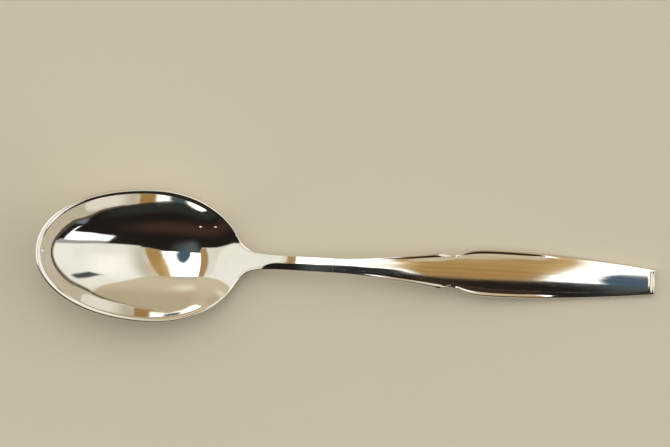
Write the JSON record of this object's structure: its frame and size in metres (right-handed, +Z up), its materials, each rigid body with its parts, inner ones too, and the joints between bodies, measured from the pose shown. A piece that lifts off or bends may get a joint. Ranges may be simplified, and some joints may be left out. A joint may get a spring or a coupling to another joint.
{
  "type": "coffee spoon",
  "caption": "Small polished metal spoon with a deep oval bowl, slim arched stem and flat bead-edged handle with a nicked knuckle and square-cut end, for stirring and serving coffee.",
  "frame": {"origin": "on the table under the middle of the spoon's length, on its plane of symmetry", "axes": "+X along the spoon from the bowl's tip to the handle's end, +Z up out of the bowl, +Y across"},
  "size_m": [0.1382, 0.0296, 0.0152],
  "materials": {
    "bowl_polish": "mirror polish with fine wear scratches",
    "handle_polish": "mirror polish, lightly scratched along its length"
  },
  "bodies": {
    "root": {"bowl": "bowl_polish", "handle": "handle_polish"}
  },
  "joints": []
}
